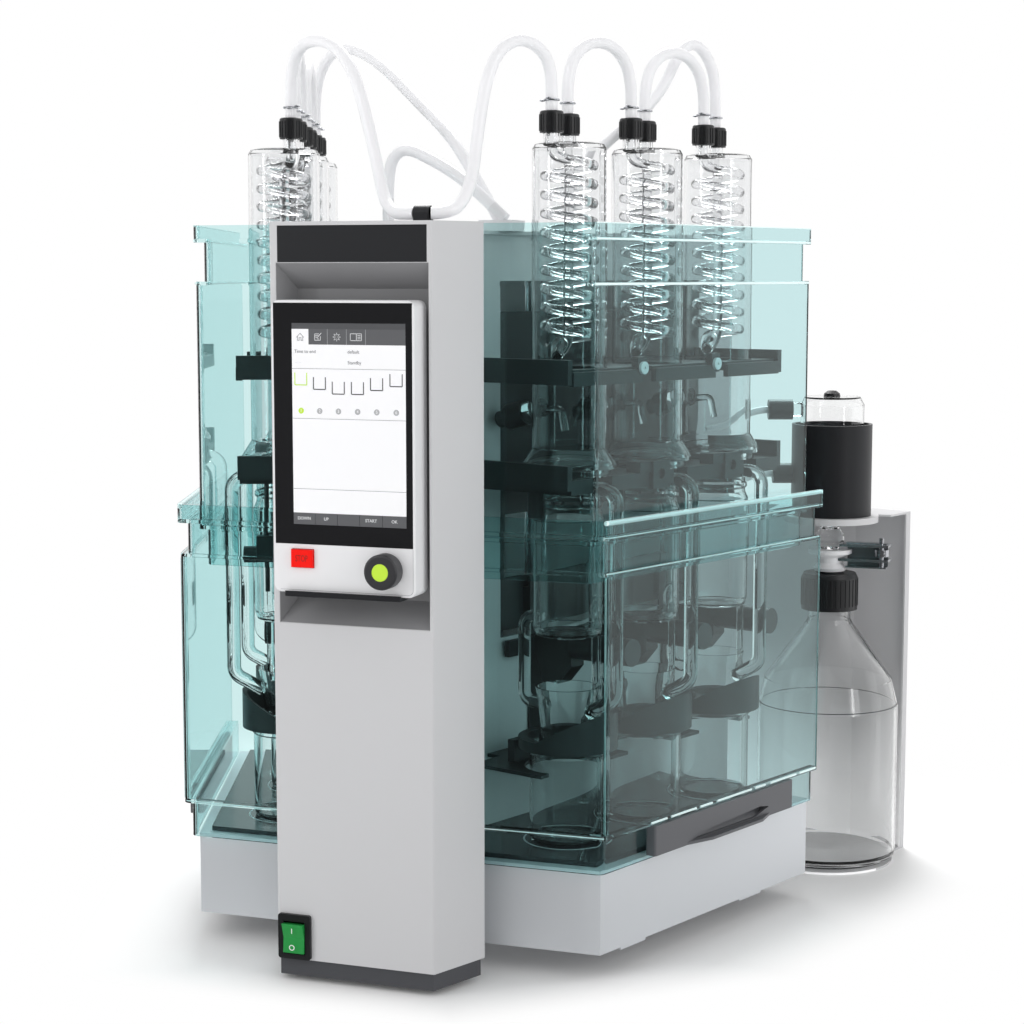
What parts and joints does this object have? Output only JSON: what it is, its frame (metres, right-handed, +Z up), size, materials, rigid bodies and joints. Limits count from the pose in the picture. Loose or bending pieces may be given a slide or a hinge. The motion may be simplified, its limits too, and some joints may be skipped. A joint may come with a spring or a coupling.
{
  "type": "laboratory fat extractor",
  "caption": "Benchtop hot-extraction instrument with lifting glass racks, coil condensers, heated beaker plates, sliding clear shields, a touch-panel column and a solvent recovery tank",
  "frame": {"origin": "centre of the footprint, on the bench under the feet", "axes": "+Z up, front panel facing -Y, +X to the right as seen from the front"},
  "size_m": [0.6416, 0.617, 0.7782],
  "materials": {
    "housing_grey": "satin light grey powder coat",
    "housing_light": "satin off-white moulding",
    "dark_plastic": "satin dark grey moulding",
    "brushed_steel": "vertical brushing",
    "black_glass": "polished black cover glass",
    "black_metal": "matt black coated arms and plates",
    "clear_glass": "clear borosilicate",
    "teal_clear": "clear teal-tinted sheet",
    "rubber": "black rubber",
    "cap_black": "satin black screw caps",
    "hose_white": "translucent white silicone",
    "steel": "bright wire and ground rods",
    "grip_grey": "satin mid-grey grip",
    "button_red": "red key",
    "rocker_green": "green rocker",
    "white_plastic": "white adaptor and fittings",
    "board_green": "circuit board"
  },
  "bodies": {
    "main": {"base_housing": "brushed_steel", "heating_plates": "black_glass", "heater_elements": "steel", "rubber_feet": "rubber", "control_column": "housing_grey", "column_trims": "dark_plastic", "panel_housing": "housing_light", "display_glass": "black_glass", "panel_tray": "dark_plastic", "control_board": "board_green", "switch_frame": "cap_black", "tower_housing": "housing_grey", "tower_lid": "housing_grey", "tower_rear_panel": "housing_grey", "power_inlet": "cap_black", "lift_column": "steel", "hose_clip": "dark_plastic", "water_fittings": "white_plastic", "shield_rails": "black_metal", "shield_upper_left": "teal_clear", "shield_upper_right": "teal_clear", "tank_bracket": "housing_grey", "tank_sleeve": "dark_plastic", "tank_condenser": "clear_glass", "tank_caps": "cap_black", "tank_adaptor": "white_plastic", "tank_clamp": "steel", "tank_bottle": "clear_glass", "beakers": "clear_glass", "hose_left_front": "hose_white", "hose_right_front": "hose_white", "hose_right_return": "hose_white", "hose_left_return": "hose_white", "hose_jumper": "hose_white", "hose_tank_upper": "hose_white", "hose_tank_lower": "hose_white"},
    "glass_rack": {"lift_carriage": "black_metal", "rack_holders": "black_metal", "holder_knobs": "white_plastic", "condenser_jackets": "clear_glass", "condenser_coils": "clear_glass", "condenser_caps": "cap_black", "hose_sleeves": "hose_white", "hose_clamps": "steel", "extraction_chambers": "clear_glass", "chamber_tubes": "clear_glass", "valve_units": "cap_black", "beaker_rings": "black_metal", "hose_right_one": "hose_white", "hose_right_two": "hose_white", "hose_left_one": "hose_white", "hose_left_two": "hose_white"},
    "shield_left": {"shield_lower_left": "teal_clear", "shield_handle_left": "grip_grey"},
    "shield_right": {"shield_lower_right": "teal_clear", "shield_handle_right": "grip_grey"},
    "stop_key": {"stop_button": "button_red"},
    "knob_stem": {"knob_shaft": "steel"},
    "knob": {"selector_knob": "dark_plastic"},
    "rocker": {"power_rocker": "rocker_green"}
  },
  "joints": [
    {"name": "rack_lift", "type": "slide", "parent": "main", "child": "glass_rack", "axis": [0, 0, 1], "range_m": [0, 0.06], "deforming": ["hose_left_front", "hose_right_front", "hose_right_return", "hose_left_return"]},
    {"name": "shield_left_lift", "type": "slide", "parent": "main", "child": "shield_left", "axis": [0, 0, 1], "range_m": [0, 0.2]},
    {"name": "shield_right_lift", "type": "slide", "parent": "main", "child": "shield_right", "axis": [0, 0, 1], "range_m": [0, 0.2]},
    {"name": "stop_push", "type": "slide", "parent": "main", "child": "stop_key", "axis": [0, 1, 0], "range_m": [0, 0.0015], "stiffness_N_per_m": 600},
    {"name": "knob_push", "type": "slide", "parent": "main", "child": "knob_stem", "axis": [0, 1, 0], "range_m": [0, 0.001], "stiffness_N_per_m": 800},
    {"name": "knob_turn", "type": "hinge", "parent": "knob_stem", "child": "knob", "pos_m": [0.01304, -0.2965, 0.3398], "axis": [0, -1, 0], "continuous": true},
    {"name": "rocker_tip", "type": "hinge", "parent": "main", "child": "rocker", "pos_m": [-0.07576, -0.2735, 0.037], "axis": [1, 0, 0], "range_deg": [-5, 0]}
  ]
}
